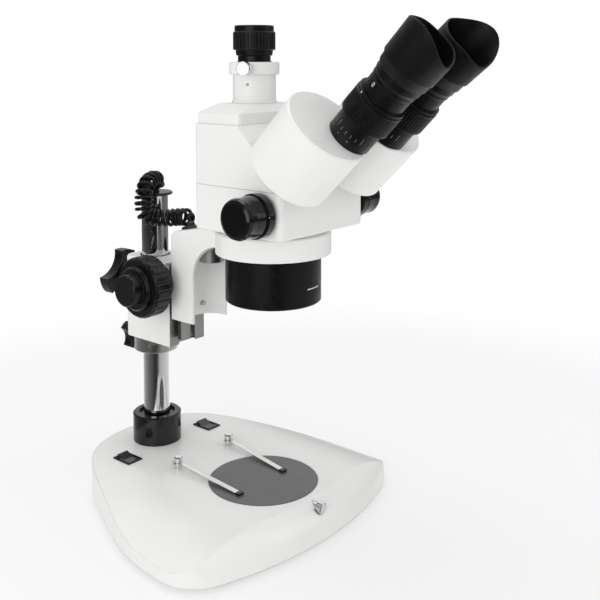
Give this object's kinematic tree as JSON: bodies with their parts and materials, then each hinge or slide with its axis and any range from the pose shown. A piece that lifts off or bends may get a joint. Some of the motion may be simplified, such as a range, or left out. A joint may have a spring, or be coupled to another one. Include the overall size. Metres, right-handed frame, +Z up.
{
  "type": "stereo microscope",
  "caption": "Zoom stereo microscope with inclined eyepieces and a photo port, carried on a focusing arm above a lit base with a round stage plate.",
  "frame": {"origin": "on the bench, under the centre of the round stage plate", "axes": "+Z up, the operator sits on the -Y side, +X is the operator's right"},
  "size_m": [0.2624, 0.3954, 0.435],
  "materials": {
    "white_enamel": "satin enamel with a fine orange-peel texture",
    "gloss_black": "glossy",
    "barrel_black": "satin black anodising",
    "moulded_black": "moulded, fine grain",
    "soft_rubber": "matte",
    "chrome_plate": "polished",
    "bright_steel": "brushed",
    "brass_bush": "turned",
    "optical_glass": "coated",
    "lamp_housing": "satin",
    "board_green": "solder mask",
    "cover_steel": "black powder coat"
  },
  "bodies": {
    "root": {"base_casting": "white_enamel", "bottom_cover": "cover_steel", "rubber_feet": "soft_rubber", "cover_screws": "bright_steel", "stage_plate": "gloss_black", "led_board": "board_green", "driver_board": "board_green", "power_inlet": "moulded_black", "switch_bezels": "gloss_black", "pillar_collar": "gloss_black", "pillar": "chrome_plate", "pillar_cap": "chrome_plate", "clip_posts": "chrome_plate", "coiled_cord": "soft_rubber"},
    "switch_left": {"switch_rocker_left": "gloss_black"},
    "switch_right": {"switch_rocker_right": "gloss_black"},
    "stage_lock": {"stage_lock_screw": "chrome_plate"},
    "clip_left": {"stage_clip_left": "bright_steel", "clip_tip_left": "moulded_black"},
    "clip_right": {"stage_clip_right": "bright_steel", "clip_tip_right": "moulded_black"},
    "safety": {"safety_collar": "chrome_plate"},
    "safety_clamp": {"safety_knob": "moulded_black"},
    "carrier": {"carrier_liner": "moulded_black"},
    "block": {"focus_block": "white_enamel", "shaft_bushings": "brass_bush"},
    "block_clamp": {"block_clamp_knob": "moulded_black"},
    "focus_drive": {"pinion_shaft": "bright_steel", "focus_knobs": "moulded_black", "focus_hubs": "moulded_black"},
    "arm_body": {"arm": "white_enamel", "slide_bar": "bright_steel", "arm_screws": "bright_steel", "incident_lamp": "lamp_housing", "cord_plug": "moulded_black"},
    "head_lock": {"head_lock_screw": "chrome_plate"},
    "head": {"head_lower": "white_enamel", "head_upper": "white_enamel", "head_cap": "white_enamel", "photo_tube": "white_enamel", "photo_collar": "white_enamel", "objective_barrel": "barrel_black", "objective_lens": "optical_glass"},
    "photo_lock": {"photo_screw": "chrome_plate"},
    "photo_focus": {"photo_eyepiece": "barrel_black"},
    "zoom_drive": {"zoom_shaft": "bright_steel", "zoom_knobs": "barrel_black"},
    "zoom_slide": {"zoom_carriage": "bright_steel"},
    "tube_left": {"prism_housing_left": "white_enamel", "prism_left": "optical_glass", "eye_tube_left": "barrel_black"},
    "tube_right": {"prism_housing_right": "white_enamel", "prism_right": "optical_glass", "eye_tube_right": "barrel_black"},
    "diopter_left": {"diopter_ring_left": "barrel_black"},
    "diopter_right": {"diopter_ring_right": "barrel_black"},
    "ocular_left": {"eyepiece_left": "barrel_black", "eyecup_left": "soft_rubber"},
    "ocular_right": {"eyepiece_right": "barrel_black", "eyecup_right": "soft_rubber"}
  },
  "joints": [
    {"name": "switch_left_rock", "type": "hinge", "parent": "root", "child": "switch_left", "pos_m": [-0.05, 0.1225, 0.031], "axis": [-1, 0, 0], "range_deg": [0, 18]},
    {"name": "switch_right_rock", "type": "hinge", "parent": "root", "child": "switch_right", "pos_m": [0.05, 0.1225, 0.031], "axis": [-1, 0, 0], "range_deg": [0, 18]},
    {"name": "stage_lock_turn", "type": "hinge", "parent": "root", "child": "stage_lock", "pos_m": [0, -0.06, 0.028], "axis": [0, -0.9962, -0.0872], "continuous": true},
    {"name": "clip_left_swing", "type": "hinge", "parent": "root", "child": "clip_left", "pos_m": [-0.032, 0.074, 0.0364], "axis": [0, 0, 1], "range_deg": [-90, 16]},
    {"name": "clip_right_swing", "type": "hinge", "parent": "root", "child": "clip_right", "pos_m": [0.032, 0.074, 0.0364], "axis": [0, 0, 1], "range_deg": [-13, 90]},
    {"name": "safety_slide", "type": "slide", "parent": "root", "child": "safety", "axis": [0, 0, 1], "range_m": [-0.05, 0]},
    {"name": "safety_clamp_turn", "type": "hinge", "parent": "safety", "child": "safety_clamp", "pos_m": [0, 0.168, 0.1278], "axis": [0, 1, 0], "continuous": true},
    {"name": "carrier_slide", "type": "slide", "parent": "root", "child": "carrier", "axis": [0, 0, 1], "range_m": [0, 0.05], "deforming": ["coiled_cord"]},
    {"name": "block_swivel", "type": "hinge", "parent": "carrier", "child": "block", "pos_m": [0, 0.139, 0.174], "axis": [0, 0, 1], "range_deg": [-90, 90]},
    {"name": "block_clamp_turn", "type": "hinge", "parent": "block", "child": "block_clamp", "pos_m": [0, 0.182, 0.186], "axis": [0, 1, 0], "continuous": true},
    {"name": "focus_turn", "type": "hinge", "parent": "block", "child": "focus_drive", "pos_m": [0, 0.1047, 0.194], "axis": [-1, 0, 0], "range_deg": [-240, 300]},
    {"name": "focus_slide", "type": "slide", "parent": "block", "child": "arm_body", "axis": [0, 0, 1], "range_m": [-0.02, 0.025]},
    {"name": "head_lock_turn", "type": "hinge", "parent": "arm_body", "child": "head_lock", "pos_m": [0, -0.0121, 0.2455], "axis": [0.866, 0.5, 0], "continuous": true},
    {"name": "head_rotate", "type": "hinge", "parent": "arm_body", "child": "head", "pos_m": [0, -0.0121, 0.245], "axis": [0, 0, 1], "range_deg": [-180, 180]},
    {"name": "photo_lock_turn", "type": "hinge", "parent": "head", "child": "photo_lock", "pos_m": [0, 0.009, 0.3897], "axis": [-0.9063, -0.4226, 0], "continuous": true},
    {"name": "photo_focus_turn", "type": "hinge", "parent": "head", "child": "photo_focus", "pos_m": [0, 0.009, 0.405], "axis": [0, 0, 1], "continuous": true},
    {"name": "zoom_turn", "type": "hinge", "parent": "head", "child": "zoom_drive", "pos_m": [0, -0.0481, 0.2775], "axis": [1, 0, 0], "range_deg": [-70, 70]},
    {"name": "zoom_lens_slide", "type": "slide", "parent": "head", "child": "zoom_slide", "axis": [0, 0, 1], "range_m": [-0.006, 0.006]},
    {"name": "tube_left_turn", "type": "hinge", "parent": "head", "child": "tube_left", "pos_m": [-0.0364, -0.1, 0.349], "axis": [0, 0.7071, -0.7071], "range_deg": [0, 50]},
    {"name": "tube_right_turn", "type": "hinge", "parent": "head", "child": "tube_right", "pos_m": [0.0364, -0.1, 0.349], "axis": [0, -0.7071, 0.7071], "range_deg": [0, 50]},
    {"name": "diopter_left_turn", "type": "hinge", "parent": "tube_left", "child": "diopter_left", "pos_m": [-0.02315, -0.10948, 0.33953], "axis": [0, -0.7071, 0.7071], "range_deg": [0, 181]},
    {"name": "ocular_left_slide", "type": "slide", "parent": "tube_left", "child": "ocular_left", "axis": [0, -0.7071, 0.7071], "range_m": [0, 0.004]},
    {"name": "diopter_right_turn", "type": "hinge", "parent": "tube_right", "child": "diopter_right", "pos_m": [0.02315, -0.10948, 0.33953], "axis": [0, -0.7071, 0.7071], "range_deg": [0, 181]},
    {"name": "ocular_right_slide", "type": "slide", "parent": "tube_right", "child": "ocular_right", "axis": [0, -0.7071, 0.7071], "range_m": [0, 0.004]}
  ],
  "couplings": [
    {"joint": "focus_turn", "follows": "focus_slide", "rad_per_m": 208.33},
    {"joint": "zoom_lens_slide", "follows": "zoom_turn", "m_per_rad": 0.0048},
    {"joint": "tube_right_turn", "follows": "tube_left_turn", "ratio": 1},
    {"joint": "diopter_left_turn", "follows": "ocular_left_slide", "rad_per_m": 785.4},
    {"joint": "diopter_right_turn", "follows": "ocular_right_slide", "rad_per_m": 785.4}
  ]
}
